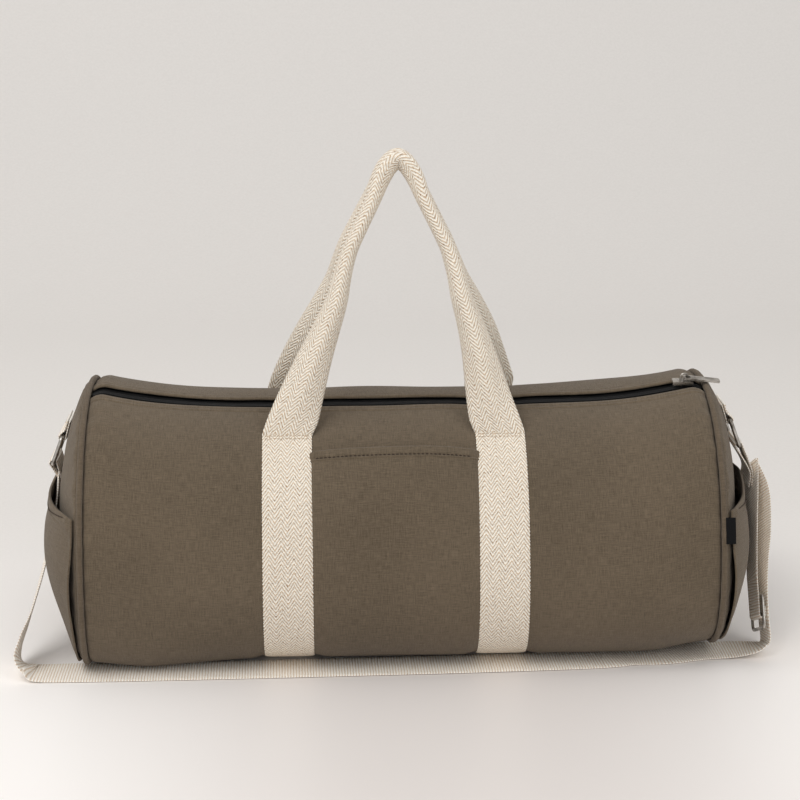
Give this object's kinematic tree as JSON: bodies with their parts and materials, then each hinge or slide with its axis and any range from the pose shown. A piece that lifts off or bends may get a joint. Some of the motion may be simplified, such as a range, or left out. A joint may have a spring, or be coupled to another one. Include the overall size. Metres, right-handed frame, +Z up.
{
  "type": "gym bag",
  "caption": "Barrel gym bag in canvas with a top zip, webbing carry handles, open pockets at its front and ends, and a shoulder strap on wire rings.",
  "frame": {"origin": "on the floor under the middle of the bag, in the face that the bag rests on", "axes": "+X along the bag towards the end with the zip slider and the strap adjuster, -Y towards the front pocket, +Z up"},
  "size_m": [0.6304, 0.2679, 0.4149],
  "materials": {
    "olive_canvas": "plain cotton canvas",
    "piping_canvas": "self-fabric corded piping",
    "cream_webbing": "herringbone cotton webbing",
    "strap_webbing": "ribbed cotton webbing",
    "black_zip_tape": "woven zip tape and binding tape",
    "black_zip_coil": "nylon coil",
    "nickel": "polished nickel plate",
    "black_label": "plain woven tab"
  },
  "bodies": {
    "bag": {"body_panel": "olive_canvas", "left_end_panel": "olive_canvas", "right_end_panel": "olive_canvas", "front_pocket": "olive_canvas", "left_end_pocket": "olive_canvas", "right_end_pocket": "olive_canvas", "left_piping": "piping_canvas", "right_piping": "piping_canvas", "left_band": "cream_webbing", "right_band": "cream_webbing", "left_ring_tab": "strap_webbing", "right_ring_tab": "strap_webbing", "zip_tape_front": "black_zip_tape", "zip_tape_back": "black_zip_tape", "left_seam_binding": "black_zip_tape", "right_seam_binding": "black_zip_tape", "zip_coil_front": "black_zip_coil", "zip_coil_back": "black_zip_coil", "side_label": "black_label"},
    "front_handle": {"front_handle": "cream_webbing"},
    "back_handle": {"back_handle": "cream_webbing"},
    "shoulder_strap": {"shoulder_strap": "strap_webbing", "strap_inner_leg": "strap_webbing", "strap_adjuster": "nickel"},
    "left_ring": {"left_ring": "nickel", "left_strap_end": "strap_webbing"},
    "right_ring": {"right_ring": "nickel", "right_strap_end": "strap_webbing"},
    "zip_slider": {"zip_slider": "nickel"},
    "zip_pull": {"zip_pull": "nickel"}
  },
  "joints": [
    {"name": "front_handle_fold", "type": "hinge", "parent": "bag", "child": "front_handle", "pos_m": [-0.006, -0.0753, 0.1878], "axis": [1, 0, 0], "range_deg": [0, 95]},
    {"name": "back_handle_fold", "type": "hinge", "parent": "bag", "child": "back_handle", "pos_m": [-0.006, 0.0753, 0.1878], "axis": [-1, 0, 0], "range_deg": [0, 95]},
    {"name": "strap_swing", "type": "hinge", "parent": "bag", "child": "shoulder_strap", "pos_m": [0, 0, 0.136], "axis": [-1, 0, 0], "range_deg": [0, 95]},
    {"name": "left_ring_swing", "type": "hinge", "parent": "bag", "child": "left_ring", "pos_m": [-0.27398, 0, 0.17297], "axis": [0, -1, 0], "range_deg": [0, 5]},
    {"name": "right_ring_swing", "type": "hinge", "parent": "bag", "child": "right_ring", "pos_m": [0.27178, 0, 0.18114], "axis": [0, 1, 0], "range_deg": [0, 4]},
    {"name": "zip_slide", "type": "slide", "parent": "bag", "child": "zip_slider", "axis": [-1, 0, 0], "range_m": [0, 0.474]},
    {"name": "zip_pull_lift", "type": "hinge", "parent": "zip_slider", "child": "zip_pull", "pos_m": [0.23836, -0.02261, 0.22071], "axis": [0, -0.9881, -0.1538], "range_deg": [0, 160]}
  ]
}
